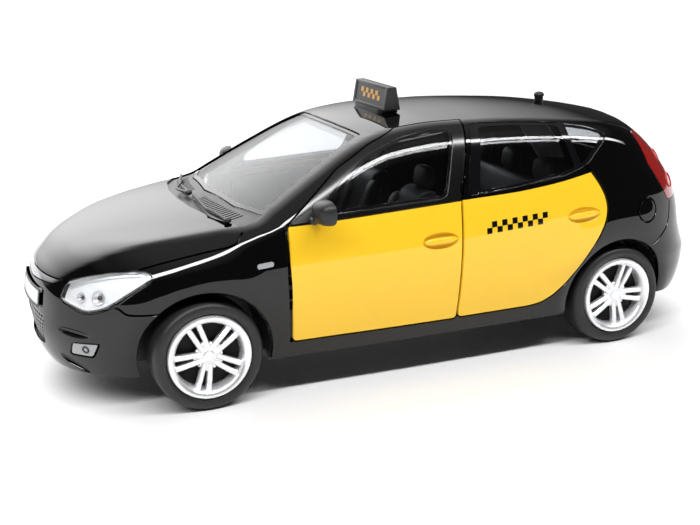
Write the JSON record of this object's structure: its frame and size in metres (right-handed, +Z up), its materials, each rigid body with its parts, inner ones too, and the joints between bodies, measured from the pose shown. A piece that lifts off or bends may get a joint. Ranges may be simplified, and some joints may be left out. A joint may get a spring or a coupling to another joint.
{
  "type": "diecast collector car",
  "caption": "Die-cast hatchback taxi model with opening front doors, rolling wheels, glazed cabin with seats and a roof sign.",
  "frame": {"origin": "centre of the car's box, on the surface that its tyres stand on", "axes": "+X towards the tail, -Y the car's left side, +Z up"},
  "size_m": [0.1183, 0.0562, 0.0452],
  "materials": {
    "body_paint": "deep gloss black",
    "door_paint": "gloss warm yellow",
    "base_plastic": "satin black moulded plastic",
    "interior_plastic": "grained dark grey moulded plastic",
    "trim_plastic": "satin dark grey moulded plastic",
    "window_glass": "clear moulded plastic glazing",
    "lamp_clear": "clear lamp lens",
    "lamp_red": "translucent red lamp lens",
    "reflector": "bright vacuum-plated plastic",
    "grille_plastic": "grey moulded mesh",
    "plate_plastic": "white blank plate",
    "wheel_metal": "satin silver plated plastic",
    "tyre_rubber": "smooth satin black rubber",
    "steel": "drawn steel",
    "mirror_face": "silvered face"
  },
  "bodies": {
    "body": {"base_screw_front": "steel", "base_screw_rear": "steel", "body_shell": "body_paint", "chassis_base": "base_plastic", "cowl_panel": "trim_plastic", "dashboard": "interior_plastic", "fog_lamp_left": "lamp_clear", "fog_lamp_right": "lamp_clear", "front_plate": "plate_plastic", "front_seat_left": "interior_plastic", "front_seat_right": "interior_plastic", "headlight_lens_left": "lamp_clear", "headlight_lens_right": "lamp_clear", "headlight_reflector_left": "reflector", "headlight_reflector_right": "reflector", "hinge_pin_left": "steel", "hinge_pin_right": "steel", "interior_tub": "interior_plastic", "lower_grille": "grille_plastic", "rear_bench": "interior_plastic", "rear_plate": "plate_plastic", "rear_side_glass_left": "window_glass", "rear_side_glass_right": "window_glass", "roof_antenna": "trim_plastic", "roof_sign": "trim_plastic", "roof_sign_foot": "trim_plastic", "side_repeater_left": "trim_plastic", "side_repeater_right": "trim_plastic", "steering_wheel": "trim_plastic", "tail_lamp_left": "lamp_red", "tail_lamp_right": "lamp_red", "tailgate_glass": "window_glass", "upper_grille": "reflector", "windscreen": "window_glass", "wiper_left": "trim_plastic", "wiper_right": "trim_plastic"},
    "left_door": {"door_card_left": "interior_plastic", "door_glass_left": "window_glass", "door_left": "door_paint", "door_mirror_left": "trim_plastic", "mirror_glass_left": "mirror_face"},
    "right_door": {"door_card_right": "interior_plastic", "door_glass_right": "window_glass", "door_mirror_right": "trim_plastic", "door_right": "door_paint", "mirror_glass_right": "mirror_face"},
    "front_wheels": {"front_axle": "steel", "front_rim_left": "wheel_metal", "front_rim_right": "wheel_metal", "front_tyre_left": "tyre_rubber", "front_tyre_right": "tyre_rubber"},
    "rear_wheels": {"rear_axle": "steel", "rear_rim_left": "wheel_metal", "rear_rim_right": "wheel_metal", "rear_tyre_left": "tyre_rubber", "rear_tyre_right": "tyre_rubber"}
  },
  "joints": [
    {"name": "left_door_hinge", "type": "hinge", "parent": "body", "child": "left_door", "pos_m": [-0.0237, -0.0219, 0.0162], "axis": [0, 0, -1], "range_deg": [0, 60]},
    {"name": "right_door_hinge", "type": "hinge", "parent": "body", "child": "right_door", "pos_m": [-0.0237, 0.0219, 0.0162], "axis": [0, 0, 1], "range_deg": [0, 60]},
    {"name": "front_axle_spin", "type": "hinge", "parent": "body", "child": "front_wheels", "pos_m": [-0.0355, 0, 0.0087], "axis": [0, 1, 0], "continuous": true},
    {"name": "rear_axle_spin", "type": "hinge", "parent": "body", "child": "rear_wheels", "pos_m": [0.0381, 0, 0.0087], "axis": [0, 1, 0], "continuous": true}
  ]
}
